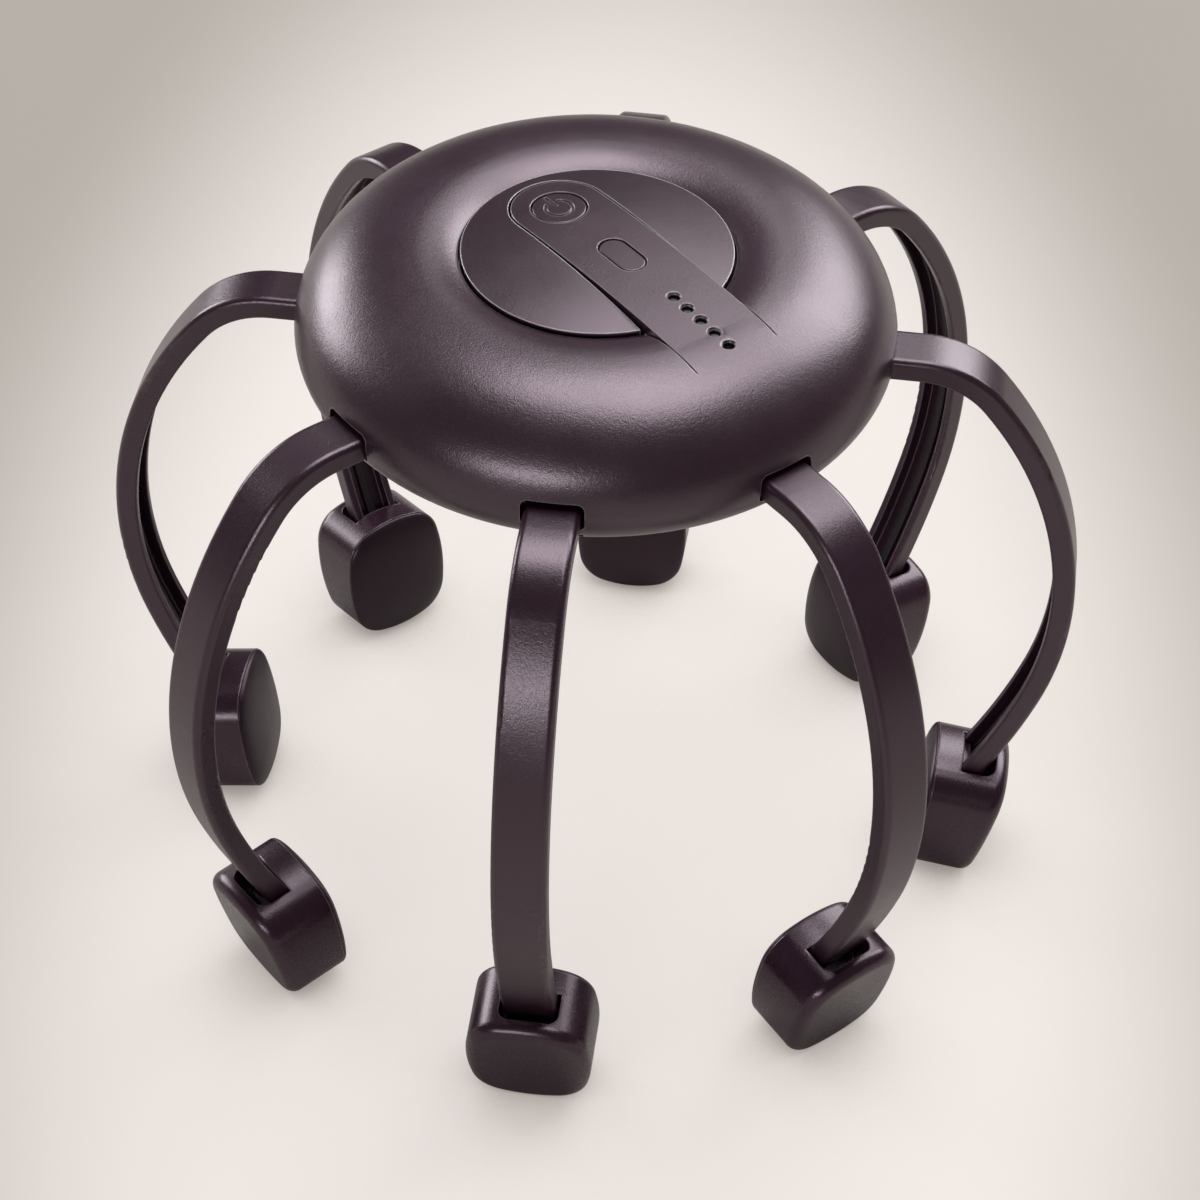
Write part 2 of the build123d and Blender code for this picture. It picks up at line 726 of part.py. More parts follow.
def charging_port():
    """Socket of a charging plug on its small board, with its lead to the circuit board."""
    plan = Plane.YZ * RectangleRounded(port_width, port_height, port_height / 2 - 0.01)
    hole = Plane.YZ * RectangleRounded(
        port_width - 2 * port_shell, port_height - 2 * port_shell, port_height / 2 - port_shell - 0.01
    )
    shell = Pos(-port_depth, 0, 0) * extrude(plan, amount=port_depth)
    shell -= Pos(port_back - port_depth, 0, 0) * extrude(hole, amount=port_depth)
    tongue_length = port_depth - port_back - 1.2
    tongue = Pos(port_back - port_depth + tongue_length / 2, 0, 0) * Box(
        tongue_length, port_width - 6 * port_shell, port_tongue_thickness
    )
    board_bottom = port_board_top - port_board_thickness
    board = lead_box(
        -port_board_length, -port_board_inset, board_bottom, port_board_top, port_board_width
    )
    frame = port_frame()
    port = [frame * (shell + tongue), frame * board]
    start = rim_radius - port_inset - port_board_length
    lead = at_arm(port_angle) * body_lead(start, board_bottom + port_rise, board_top - board_thickness)
    return Compound(children=port + [lead])


# ---- star spring and cover screws ----------------------------------------------------------------
def arm_spring():
    """Sheet-steel star: a finger under each arm's root, and lugs between the covers' bosses."""
    plan = Circle(spring_outer) - Circle(spring_inner)
    finger_end = arm_tail + spring_overlap
    middle = (spring_inner + spring_outer) / 2
    for angle in arm_angles:
        finger = Pos((middle + finger_end) / 2, 0) * Rectangle(finger_end - middle, spring_finger)
        plan += at_arm(angle) * finger
    for angle in boss_angles:
        lug = Pos((middle + boss_ring) / 2, 0) * Rectangle(boss_ring - middle, spring_lug)
        plan += at_arm(angle) * (lug + Pos(boss_ring, 0) * Circle(spring_lug / 2))
    for angle in boss_angles:
        plan -= at_arm(angle) * Pos(boss_ring, 0) * Circle(screw_radius + screw_hole_gap)
    return extrude(Pos(0, 0, spring_z - spring_thickness) * plan, amount=spring_thickness)


def cover_screws():
    """Four screws from below, through the bottom cover and the star spring into the top cover."""
    screws = []
    length, width, depth = driver_cross
    shank_length = spring_z + screw_bite - screw_head_seat
    shank = Pos(0, 0, shank_length / 2) * Cylinder(screw_radius, shank_length)
    head = Pos(0, 0, -screw_head_height / 2) * Cylinder(screw_head_radius, screw_head_height)
    cross = Box(length, width, 2 * depth) + Box(width, length, 2 * depth)
    screw = shank + head - Pos(0, 0, -screw_head_height) * cross
    screw = Pos(boss_ring, 0, screw_head_seat) * screw
    for angle in boss_angles:
        screws.append(at_arm(angle) * screw)
    return Compound(children=screws)


# ---- arms ----------------------------------------------------------------------------------------
def long_edges(solid, depth, half_width):
    """Edges of an arm's band that run along it at a depth and a half width."""
    found = []
    for edge in solid.edges():
        points = [edge @ t for t in (0.0, 0.5, 1.0)]
        if all(abs(abs(p.Y) - half_width) < 1e-4 and abs(depth_in_arm(p) - depth) < 1e-3 for p in points):
            found.append(edge)
    return found


def arm():
    """One arm along +X: a channel open inwards, solid at its root, with two trunnions."""
    blank = arm_band(0, arm_depth, arm_width, start_x=arm_tail)
    blank = fillet(long_edges(blank, 0, arm_width / 2), arm_outer_round)
    blank = fillet(long_edges(blank, arm_depth, arm_width / 2), arm_inner_round)
    channel = arm_band(arm_floor, arm_depth + 1, channel_width, first=channel_start, last=arm_tip_heading)
    duct = arm_band(
        arm_floor, arm_floor + lead_height + duct_gap, lead_width + 2 * duct_gap,
        last=channel_start + 5, start_x=arm_tail - 1,
    )
    pins = Pos(pivot_radius, 0, hinge_z) * Rot(90, 0, 0) * Cylinder(
        trunnion_radius, arm_width + 2 * trunnion_length
    )
    return blank + pins - channel - duct


def arm_lead():
    """Flat lead along an arm's channel, into its head and down to the motor."""
    outer = arm_floor + lead_gap
    band = arm_band(outer, outer + lead_height, lead_width, start_x=arm_tail)
    return band + lead_drop(0, motor_point.Z + motor_radius + lead_gap)


# ---- heads ---------------------------------------------------------------------------------------
def head_outline(inset):
    """Outline of a head: four bowed sides with round corners, an inset in from the shell's outside."""
    half_x = head_width / 2 - inset
    half_y = head_height / 2 - inset
    side_x = half_x - head_side_bulge
    end_y = half_y - head_end_bulge
    edges = [
        ThreePointArc((-side_x, end_y), (0, half_y), (side_x, end_y)),
        ThreePointArc((side_x, end_y), (half_x, 0), (side_x, -end_y)),
        ThreePointArc((side_x, -end_y), (0, -half_y), (-side_x, -end_y)),
        ThreePointArc((-side_x, -end_y), (-half_x, 0), (-side_x, end_y)),
    ]
    face = make_face(edges)
    return fillet(face.vertices(), head_corner - inset)


def slanted_block(inset):
    """Everything outside the head's slanted outer face, an inset in from it, in the head's frame."""
    lean = radians(head_wedge)
    out = head_outer - inset / cos(lean)
    plane = Plane(origin=(0, 0, out), x_dir=(1, 0, 0), z_dir=(0, -sin(lean), cos(lean)))
    return extrude(plane * Rectangle(4 * head_height, 4 * head_height), amount=2 * head_height)


def head_blank(inset, start, slant_inset):
    """Head shape in its own frame, from a start plane to the slanted outer face."""
    prism = extrude(Pos(0, 0, start) * head_outline(inset), amount=2 * head_outer - start)
    return prism - slanted_block(slant_inset)


def degrees_along(length):
    """Turn of the arm's last bend over a length of its outer face."""
    return length / arm_bends[-1][0] * 180 / pi


def tip_block(outer, inner, width, length):
    """Straight block on from the arm's tip between two depths."""
    a = Vector(*arm_point(arm_tip_heading, outer))
    b = Vector(*arm_point(arm_tip_heading, inner))
    step = Vector(tip_dx, 0, tip_dz) * length
    face = make_face([Line(a, b), Line(b, b + step), Line(b + step, a + step), Line(a + step, a)])
    return extrude(face, amount=width / 2, dir=(0, 1, 0), both=True)


def around_tip(grow, reach, below):
    """Space around an arm's tip with the socket's gaps, grown all round, from a reach above the tip."""
    outer = -socket_outer_gap - grow
    inner = arm_depth + socket_inner_gap + grow
    width = arm_width + 2 * (socket_side_gap + grow)
    first = arm_tip_heading - degrees_along(reach)
    return arm_band(outer, inner, width, first=first), tip_block(outer, inner, width, below)


def socket_space():
    """Pocket for an arm's tip, with round outer corners, open at the head's top."""
    band, below = around_tip(0, 2 * socket_depth, tip_gap)
    corners = long_edges(band, -socket_outer_gap, arm_width / 2 + socket_side_gap)
    return fillet(corners, socket_round) + below


def lead_drop(grow, low):
    """Lead from the arm's tip straight down towards the motor, grown all round."""
    x, y, z = arm_point(arm_tip_heading, arm_floor + lead_height / 2 + duct_gap)
    half = lead_height / 2 + grow
    return lead_box(x - half, x + half, low, z + grow, lead_width + 2 * grow)


def motor_axis(radius, length, middle):
    """Cylinder on a motor's axis; the axis runs across the arm."""
    return Pos(motor_point.X, middle, motor_point.Z) * Rot(90, 0, 0) * Cylinder(radius, length)


def motor_saddle():
    """Cradle for a motor's can, standing on the head's outer wall, in the head's frame."""
    width = 2 * (motor_radius + saddle_wall)
    depth = head_outer
    return Pos(motor_shift, -motor_below, motor_out + depth / 2) * Box(saddle_width, width, depth)


def under_floor():
    """Everything below the surface that the heads stand on."""
    return Pos(head_x, 0, floor_z - head_height) * Box(3 * head_height, 3 * head_height, 2 * head_height)


def head_shell():
    """Hard shell of a head: open to the pad, with the arm's socket above and the motor's cradle below."""
    blank = head_blank(0, -head_inner, 0)
    outer_face = blank.faces().sort_by(Axis.Z)[-1]
    blank = fillet(outer_face.edges(), head_round)
    hollow = head_blank(head_wall, -head_inner - 1, head_wall)
    mouth = extrude(Pos(0, 0, -head_inner - 1) * head_outline(pad_lip), amount=pad_thickness + 1)
    inside = head_blank(head_wall / 2, pad_thickness - head_inner, head_wall / 2)
    saddle = motor_saddle() & inside
    sleeve, sleeve_floor = around_tip(socket_wall, socket_depth, tip_gap + socket_wall)
    sleeve = (sleeve + sleeve_floor) & (head_plane * inside)
    tongue_depth = arm_floor + lead_height + 2 * duct_gap + lead_gap
    tongue = arm_band(
        tongue_depth,
        arm_depth + socket_inner_gap + socket_wall / 2,
        channel_width - 2 * tongue_gap,
        first=arm_tip_heading - degrees_along(socket_depth),
    )
    tongue = tongue & (head_plane * inside)
    shell = head_plane * (blank - hollow - mouth + saddle) + sleeve
    shell = shell - socket_space() + tongue
    lead_hole = lead_drop(duct_gap, motor_point.Z)
    seat = motor_axis(motor_radius + motor_fit, motor_length, motor_shift)
    return shell - [lead_hole, seat, under_floor()]


def scalp_pad():
    """Soft domed pad in a head's mouth."""
    radius = (pad_half_height ** 2 + pad_dome ** 2) / (2 * pad_dome)
    ball = Pos(0, 0, radius - head_inner - pad_dome) * Sphere(radius)
    plan = Pos(0, 0, -head_inner - pad_dome) * head_outline(pad_lip + pad_gap)
    return head_plane * (extrude(plan, amount=pad_dome + pad_thickness) & ball)


def vibration_motor():
    """Can of a vibration motor, with the bore that its shaft turns in."""
    can = motor_axis(motor_radius, motor_length, motor_shift)
    bore_middle = motor_shift + motor_length / 2 - shaft_inside / 2 + shaft_fit
    return can - motor_axis(shaft_radius + shaft_fit, shaft_inside + 2 * shaft_fit, bore_middle)


def motor_weight():
    """Half-round weight on a motor's shaft, hanging down."""
    face = motor_shift + motor_length / 2
    shaft_end = face + weight_gap + weight_length
    shaft_start = face - shaft_inside
    shaft = motor_axis(shaft_radius, shaft_end - shaft_start, (shaft_end + shaft_start) / 2)
    disc = motor_axis(weight_radius, weight_length, shaft_end - weight_length / 2)
    upper = Pos(motor_point.X, shaft_end, motor_point.Z + shaft_radius + weight_radius) * Box(
        3 * weight_radius, 3 * weight_length, 2 * weight_radius
    )
    return disc - upper + shaft


# ---- the assembly --------------------------------------------------------------------------------
def save(name, shape):
    export_step(Pos(0, 0, rim_height) * shape, f"parts/{name}.step")


housing_pieces = {
    "top_cover": top_cover,
    "bottom_cover": bottom_cover,
    "centre_disc": centre_disc,
    "power_button": power_button,
    "mode_button": mode_button,
    "circuit_board": circuit_board,
    "indicator_lights": indicator_lights,
    "battery": battery,
    "charging_port": charging_port,
    "arm_spring": arm_spring,
    "cover_screws": cover_screws,
}
arm_pieces = {
    "arm": arm,
    "arm_lead": arm_lead,
    "head_shell": head_shell,
    "scalp_pad": scalp_pad,
    "vibration_motor": vibration_motor,
    "motor_weight": motor_weight,
}

if __name__ == "__main__":
    for name, make in housing_pieces.items():
        save(name, make())
    for name, make in arm_pieces.items():
        piece = make()
        for number, angle in enumerate(arm_angles, start=1):
            save(f"{name}_{number}", at_arm(angle) * piece)
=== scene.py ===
from math import atan2, cos, pi, radians, sin, sqrt

import bmesh
import bpy
from mathutils import Matrix, Vector


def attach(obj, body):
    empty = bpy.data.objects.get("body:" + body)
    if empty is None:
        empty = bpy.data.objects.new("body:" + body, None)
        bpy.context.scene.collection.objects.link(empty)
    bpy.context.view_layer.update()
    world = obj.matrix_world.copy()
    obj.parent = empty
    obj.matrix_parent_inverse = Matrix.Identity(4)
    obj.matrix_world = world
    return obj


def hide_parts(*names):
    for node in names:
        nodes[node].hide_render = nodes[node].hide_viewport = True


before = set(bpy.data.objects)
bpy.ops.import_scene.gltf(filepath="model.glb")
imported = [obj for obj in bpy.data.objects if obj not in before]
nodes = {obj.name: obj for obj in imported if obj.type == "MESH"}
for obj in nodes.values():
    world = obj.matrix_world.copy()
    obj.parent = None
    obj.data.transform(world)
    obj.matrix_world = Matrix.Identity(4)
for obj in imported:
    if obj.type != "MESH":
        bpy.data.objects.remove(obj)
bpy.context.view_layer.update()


# ---- Housing covers ----
# Two moulded shells of satin aubergine plastic, joined by a lip below the widest circle and held by
# four screws from underneath. The mould is spark-eroded, so the skin has a fine leathery grain.

class Wire:
    """An output in a material's nodes. Sums on it add Math nodes."""

    def __init__(self, tree, socket=None):
        self.tree = tree
        self.socket = socket

    def node(self, kind, settings=None, values=None, out=0):
        """Add a node: its settings first, then its sockets' values or links."""
        made = self.tree.nodes.new("ShaderNode" + kind)
        for name, value in (settings or {}).items():
            setattr(made, name, value)
        for name, value in (values or {}).items():
            if isinstance(value, Wire):
                self.tree.links.new(value.socket, made.inputs[name])
            else:
                made.inputs[name].default_value = value
        return Wire(self.tree, made.outputs[out])

    def sum(self, operation, *terms):
        return self.node("Math", {"operation": operation}, dict(enumerate(terms)))

    def __add__(self, other):
        return self.sum("ADD", self, other)

    def __sub__(self, other):
        return self.sum("SUBTRACT", self, other)

    def __rsub__(self, other):
        return self.sum("SUBTRACT", other, self)

    def __mul__(self, other):
        return self.sum("MULTIPLY", self, other)

    __radd__ = __add__

    def between(self, low, high):
        """0 below low and 1 above high, with a smooth step between them."""
        settings = {"interpolation_type": "SMOOTHSTEP"}
        return self.node("MapRange", settings, {"Value": self, "From Min": low, "From Max": high})

    def mix(self, first, second):
        """Colour from first to second as this value goes from 0 to 1."""
        colours = [c if isinstance(c, Wire) else (*c, 1.0) for c in (first, second)]
        values = {"Factor": self, 6: colours[0], 7: colours[1]}
        return self.node("Mix", {"data_type": "RGBA"}, values, out=2)


def material(name, constants):
    """New material with a Principled shader's constants, and a wire to draw its nodes from."""
    made = bpy.data.materials.new(name)
    made.use_nodes = True
    shader = made.node_tree.nodes["Principled BSDF"]
    for socket, value in constants.items():
        shader.inputs[socket].default_value = value
    return made, Wire(made.node_tree), shader


def connect(wire, shader, links):
    """Feed the shader's sockets from wires."""
    for socket, value in links.items():
        wire.tree.links.new(value.socket, shader.inputs[socket])


def edge_mask(wire, radius):
    """1 where the surface turns sharply within a radius, 0 on open faces, and the eased normal."""
    eased = wire.node("Bevel", {"samples": 6}, {"Radius": radius})
    straight = wire.node("NewGeometry", out=1)
    likeness = wire.node("VectorMath", {"operation": "DOT_PRODUCT"}, {0: eased, 1: straight}, out=1)
    return (1 - likeness).between(0.002, 0.06), eased


def satin_plastic(
    name, colour, shine, roughness, grain_size, grain_height, edge_radius, edge_wear_and_highlight=0.10, blend=None
):
    """Moulded plastic with an eroded grain, faint flow clouds and edges polished by handling. The edges
    are also lighter in colour, partly as wear and partly as a painted highlight along the rims.

    blend, where it is given, eases the normal further before the grain goes on.
    """
    made, wire, shader = material(name, {
        "IOR": 1.53, "Specular IOR Level": shine, "Specular Tint": (1.0, 0.79, 0.915, 1.0)})
    place = wire.node("TexCoord", out=3)
    worms = wire.node("TexNoise", None, {
        "Vector": place, "Scale": 1 / grain_size, "Detail": 2.0, "Roughness": 0.55, "Distortion": 1.4})
    pits = wire.node("TexNoise", None, {
        "Vector": place, "Scale": 2.7 / grain_size, "Detail": 1.0, "Roughness": 0.5})
    clouds = wire.node("TexNoise", None, {
        "Vector": place, "Scale": 55.0, "Detail": 3.0, "Roughness": 0.6})
    grain = worms * 0.75 + pits * 0.25
    edge, eased = edge_mask(wire, edge_radius)
    if blend:
        eased = blend(wire, place, eased)
    # Edge colour: lighter than the skin, partly as wear and partly as a painted highlight on the rims.
    light = tuple(c * 3.0 + edge_wear_and_highlight for c in colour)
    deep = tuple(c * 0.82 for c in colour)
    tone = (grain * 0.6 + clouds * 0.4).between(0.3, 0.7)
    skin = tone.mix(deep, tuple(c * 1.2 for c in colour))
    bump = wire.node("Bump", None, {
        "Strength": 1.0, "Distance": grain_height, "Height": grain, "Normal": eased})
    connect(wire, shader, {
        "Base Color": (edge * 0.85).mix(skin, light),
        "Roughness": roughness + (clouds - 0.5) * 0.14 + (grain - 0.5) * 0.1 - edge * 0.08,
        "Normal": bump,
    })
    return made


def dress(name, finish):
    """Give a carried-over piece its finish."""
    mesh = nodes[name].data
    mesh.materials.clear()
    mesh.materials.append(finish)


def crown_blend(wire, place, eased):
    """Carry the shading smoothly over the line where the ring's inner slope meets its crown.

    The indicators' holes and the strip's side grooves, which cross that line, stay sharp.
    """
    turned = wire.node("Mapping", None, {
        "Vector": place, "Rotation": (0.0, 0.0, pi / 4), "Scale": (1.0, 1.0, 0.0)})
    radius = wire.node("VectorMath", {"operation": "LENGTH"}, {0: turned}, out=1)
    along = wire.node("SeparateXYZ", None, {"Vector": turned}, out=0)
    sideways = wire.node("SeparateXYZ", None, {"Vector": turned}, out=1)
    across = sideways.sum("ABSOLUTE", sideways)
    band = radius.between(0.0335, 0.0345) - radius.between(0.0375, 0.0385)
    holes = 1 - across.between(0.0018, 0.0024)
    groove = across.between(0.0060, 0.0066) - across.between(0.0115, 0.0120)
    wide = wire.node("Bevel", {"samples": 6}, {"Radius": 0.002})
    return (band * (1 - along.between(0.0, 0.005) * (holes + groove))).mix(eased, wide)


aubergine = (0.0160, 0.0048, 0.0112)
# The housing's edges carry a painted highlight line in their colour, as well as wear.
housing_plastic = satin_plastic(
    "housing_plastic", aubergine, shine=1.0, roughness=0.32, grain_size=0.00085, grain_height=0.000050,
    edge_radius=0.0004, edge_wear_and_highlight=0.30, blend=crown_blend)
dress("top_cover", housing_plastic)
dress("bottom_cover", housing_plastic)


# ---- Centre disc ----
# A thin domed cap of the same plastic, pegged into the recess in the middle of the ring and cut
# through by the control strip.
smooth_aubergine = (0.0150, 0.0048, 0.0105)
# The disc's rim carries the strongest painted highlight line in its edge colour, as well as wear.
disc_plastic = satin_plastic(
    "disc_plastic", smooth_aubergine, shine=1.0, roughness=0.32, grain_size=0.00070,
    grain_height=0.000028, edge_radius=0.0004, edge_wear_and_highlight=0.60)
dress("centre_disc", disc_plastic)


# ---- Buttons ----
# A round power button with a moulded-in symbol and an oval mode button, held by flanges under the
# strip's skin. Finger contact keeps them a little smoother than the housing.
button_plastic = satin_plastic(
    "button_plastic", smooth_aubergine, shine=1.0, roughness=0.30, grain_size=0.00050,
    grain_height=0.000014, edge_radius=0.0003, edge_wear_and_highlight=0.20)
dress("power_button", button_plastic)
dress("mode_button", button_plastic)


# ---- Indicator lights ----
# Five smoked acrylic light pipes, sunk in their holes and black while the lights are off.

def smoked_acrylic():
    made, wire, shader = material("light_pipe", {
        "Specular IOR Level": 0.5, "IOR": 1.49})
    place = wire.node("TexCoord", out=3)
    haze = wire.node("TexNoise", None, {"Vector": place, "Scale": 900.0, "Detail": 2.0})
    bump = wire.node("Bump", None, {"Strength": 0.15, "Distance": 0.000008, "Height": haze})
    connect(wire, shader, {
        "Base Color": haze.mix((0.002, 0.0018, 0.002), (0.006, 0.0048, 0.0055)),
        "Roughness": 0.12 + haze * 0.12,
        "Normal": bump,
    })
    return made


dress("indicator_lights", smoked_acrylic())


# ---- Circuit board ----
# Glass-fibre board with green solder mask, two tact switches, five indicator chips and the
# controller on top, and the leads to the arms soldered underneath.
board_top = 0.14346
board_thickness = 0.0016


def board_finish():
    made, wire, shader = material("board", {"Specular IOR Level": 0.5})
    place = wire.node("TexCoord", out=3)
    height = wire.node("SeparateXYZ", None, {"Vector": place}, out=2)
    tracks = wire.node("TexBrick", {"offset": 0.35, "squash": 1.0}, {
        "Vector": place, "Color1": (0, 0, 0, 1), "Color2": (0, 0, 0, 1), "Mortar": (1, 1, 1, 1),
        "Scale": 90.0, "Mortar Size": 0.03, "Brick Width": 0.5, "Row Height": 0.2}, out=1)
    weave = wire.node("TexNoise", None, {"Vector": place, "Scale": 1300.0, "Detail": 2.0})
    above = height.between(board_top + 0.00002, board_top + 0.00006)
    board_bottom = board_top - board_thickness
    below = 1 - height.between(board_bottom - 0.00006, board_bottom - 0.00002)
    mask = tracks.mix((0.004, 0.045, 0.014), (0.008, 0.09, 0.03))
    parts = weave.mix((0.010, 0.010, 0.011), (0.020, 0.020, 0.021))
    leads = weave.mix((0.016, 0.015, 0.016), (0.028, 0.026, 0.028))
    connect(wire, shader, {
        "Base Color": below.mix(above.mix(mask, parts), leads),
        "Roughness": 0.34 + above * 0.16 + weave * 0.08,
        "Normal": wire.node("Bump", None, {
            "Strength": 0.3, "Distance": 0.00002, "Height": tracks + weave * 0.4}),
    })
    return made


dress("circuit_board", board_finish())


# ---- Battery ----
# Flat lithium cell in a heat-shrunk film wrap, glued into a frame in the bottom cover.

def shrink_wrap():
    made, wire, shader = material("battery_wrap", {"Specular IOR Level": 0.5})
    place = wire.node("TexCoord", out=3)
    wrinkles = wire.node("TexNoise", None, {
        "Vector": place, "Scale": 190.0, "Detail": 4.0, "Roughness": 0.6, "Distortion": 0.8})
    fine = wire.node("TexNoise", None, {"Vector": place, "Scale": 1500.0, "Detail": 2.0})
    connect(wire, shader, {
        "Base Color": wrinkles.mix((0.30, 0.31, 0.33), (0.42, 0.43, 0.45)),
        "Roughness": 0.28 + fine * 0.14,
        "Normal": wire.node("Bump", None, {"Strength": 0.5, "Distance": 0.00012, "Height": wrinkles}),
    })
    return made


dress("battery", shrink_wrap())


# ---- Metal parts ----
# A folded tin-plated socket, a blued sheet-steel star spring, four zinc-plated cover screws, and the
# motors' drawn steel cans with their sintered weights.

def worked_metal(name, dark, bright, roughness, scratch_size, line=(1.0, 1.0, 1.0)):
    """Bare or plated metal with rolling lines and small scuffs. line stretches them along an axis."""
    made, wire, shader = material(name, {"Metallic": 1.0})
    place = wire.node("TexCoord", out=3)
    drawn = wire.node("Mapping", None, {"Vector": place, "Scale": line})
    scuffs = wire.node("TexNoise", None, {
        "Vector": drawn, "Scale": 1 / scratch_size, "Detail": 4.0, "Roughness": 0.7})
    stain = wire.node("TexNoise", None, {"Vector": place, "Scale": 120.0, "Detail": 3.0})
    edge, eased = edge_mask(wire, 0.00015)
    tone = (scuffs * 0.5 + stain * 0.5).between(0.35, 0.65)
    worn = tuple(min(1.0, c * 1.25) for c in bright)
    connect(wire, shader, {
        "Base Color": (edge * 0.5).mix(tone.mix(dark, bright), worn),
        "Roughness": roughness + (scuffs - 0.5) * 0.2 - edge * 0.05,
        "Normal": wire.node("Bump", None, {
            "Strength": 0.35, "Distance": 0.00001, "Height": scuffs, "Normal": eased}),
    })
    return made


port_metal = worked_metal("port_metal", (0.50, 0.50, 0.49), (0.68, 0.68, 0.67), 0.30, 0.0004)
spring_steel = worked_metal("spring_steel", (0.10, 0.11, 0.14), (0.22, 0.23, 0.27), 0.34, 0.0006)
screw_steel = worked_metal("screw_steel", (0.42, 0.42, 0.43), (0.60, 0.60, 0.61), 0.32, 0.0003)
dress("charging_port", port_metal)
dress("arm_spring", spring_steel)
dress("cover_screws", screw_steel)
motor_can = worked_metal("motor_can", (0.46, 0.46, 0.47), (0.62, 0.62, 0.63), 0.30, 0.0005)
weight_metal = worked_metal("weight_metal", (0.26, 0.25, 0.24), (0.38, 0.37, 0.35), 0.46, 0.0003)
arm_numbers = range(1, 9)
for number in arm_numbers:
    dress(f"vibration_motor_{number}", motor_can)
    dress(f"motor_weight_{number}", weight_metal)


# ---- Arms ----
# Eight curved springy arms, moulded as a channel that is open inwards. Each turns a little on two
# pins in the housing. Long use polishes the outer edges, which are also lighter in colour, partly as
# wear and partly as a painted highlight.
arm_plastic = satin_plastic(
    "arm_plastic", (0.0160, 0.0043, 0.0110), shine=0.85, roughness=0.30, grain_size=0.00080,
    grain_height=0.000042, edge_radius=0.0005)
for number in arm_numbers:
    dress(f"arm_{number}", arm_plastic)


# ---- Arm leads ----
# A flat twin-core lead lies on the floor of each arm's channel, from the housing down to the motor.
# It is drawn through two round dies, so it has a waist between its cores.
rim_height = 0.1374593
arm_rise = 0.0012
arm_floor = 0.0019
lead_gap = 0.00005
lead_width = 0.0022
lead_height = 0.0008
lead_start = 0.0492
arm_straight_end = 0.0653
arm_bends = ((0.0218, 50.2), (0.0840, 58.7), (0.1570, 11.7))
lead_end_height = 0.0166


def turned_about(mesh, parts, centre, axis, angle, steps):
    """Sweep the open end's edges about an axis and return the new end."""
    swept = bmesh.ops.spin(
        mesh, geom=parts, cent=centre, axis=axis, dvec=(0, 0, 0), angle=angle, steps=steps,
        use_duplicate=False)
    return swept["geom_last"]


def twin_lead():
    mesh = bmesh.new()
    core = lead_height / 2
    bmesh.ops.create_circle(mesh, cap_ends=False, radius=core, segments=16)
    for vertex in mesh.verts:
        shift = lead_width / 2 - core
        vertex.co.x += shift if vertex.co.x > 1e-6 else -shift if vertex.co.x < -1e-6 else 0.0
    waist = [v for v in mesh.verts if abs(v.co.x) < 1e-6]
    bmesh.ops.scale(mesh, vec=(1, 0.7, 1), verts=waist)
    depth = arm_floor + lead_gap + core
    stand = Matrix(((0, 0, 1, lead_start), (1, 0, 0, 0), (0, 1, 0, arm_rise - depth), (0, 0, 0, 1)))
    bmesh.ops.transform(mesh, matrix=stand, verts=mesh.verts)
    end = bmesh.ops.extrude_edge_only(mesh, edges=mesh.edges)["geom"]
    run = arm_straight_end - lead_start
    tips = [g for g in end if isinstance(g, bmesh.types.BMVert)]
    bmesh.ops.translate(mesh, vec=(run, 0, 0), verts=tips)
    end = [g for g in end if isinstance(g, bmesh.types.BMEdge)
           and all(abs(v.co.x - arm_straight_end) < 1e-6 for v in g.verts)]
    end += list({v for e in end for v in e.verts})
    corner = Vector((arm_straight_end, 0, arm_rise))
    heading = 0.0
    for radius, turn in arm_bends:
        inwards = Vector((-sin(radians(heading)), 0, -cos(radians(heading))))
        centre = corner + inwards * radius
        end = turned_about(mesh, end, centre, (0, 1, 0), radians(turn), max(6, int(turn / 1.5)))
        heading += turn
        corner = centre + Vector((sin(radians(heading)), 0, cos(radians(heading)))) * radius
    edges = [g for g in end if isinstance(g, bmesh.types.BMEdge)]
    drop = bmesh.ops.extrude_edge_only(mesh, edges=edges)["geom"]
    tail = [g for g in drop if isinstance(g, bmesh.types.BMVert)]
    middle = sum((v.co for v in tail), Vector()) / len(tail)
    bmesh.ops.translate(mesh, vec=(0, 0, lead_end_height - rim_height - middle.z), verts=tail)
    bmesh.ops.holes_fill(mesh, edges=mesh.edges, sides=0)
    bmesh.ops.recalc_face_normals(mesh, faces=mesh.faces)
    return mesh


def rubber(name, colour, roughness, grain_size, grain_height):
    """Soft moulded rubber with a fine grain and a little dust."""
    made, wire, shader = material(name, {
        "Specular IOR Level": 0.50, "Specular Tint": (1.0, 0.72, 0.87, 1.0)})
    place = wire.node("TexCoord", out=3)
    grain = wire.node("TexNoise", None, {
        "Vector": place, "Scale": 1 / grain_size, "Detail": 3.0, "Roughness": 0.6, "Distortion": 0.5})
    dust = wire.node("TexNoise", None, {
        "Vector": place, "Scale": 140.0, "Detail": 4.0, "Roughness": 0.65})
    tone = (grain * 0.4 + dust * 0.6).between(0.3, 0.72)
    connect(wire, shader, {
        "Base Color": tone.mix(tuple(c * 0.85 for c in colour), tuple(c * 1.25 for c in colour)),
        "Roughness": roughness + (dust - 0.5) * 0.18 + (grain - 0.5) * 0.08,
        "Normal": wire.node("Bump", None, {"Strength": 0.55, "Distance": grain_height, "Height": grain}),
    })
    return made


def placed(name, mesh, number, finish, body, node):
    """Turn a copy of a piece made on the +X arm to its own arm, and set it in the frame."""
    copy = mesh.copy()
    turn = Matrix.Rotation(radians(-90 + 45 * (number - 1)), 4, "Z")
    bmesh.ops.transform(copy, matrix=Matrix.Translation((0, 0, rim_height)) @ turn, verts=copy.verts)
    for face in copy.faces:
        face.smooth = True
    data = bpy.data.meshes.new(name)
    copy.to_mesh(data)
    copy.free()
    data.materials.append(finish)
    piece = bpy.data.objects.new(name, data)
    bpy.context.scene.collection.objects.link(piece)
    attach(piece, body)
    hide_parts(node)
    return piece


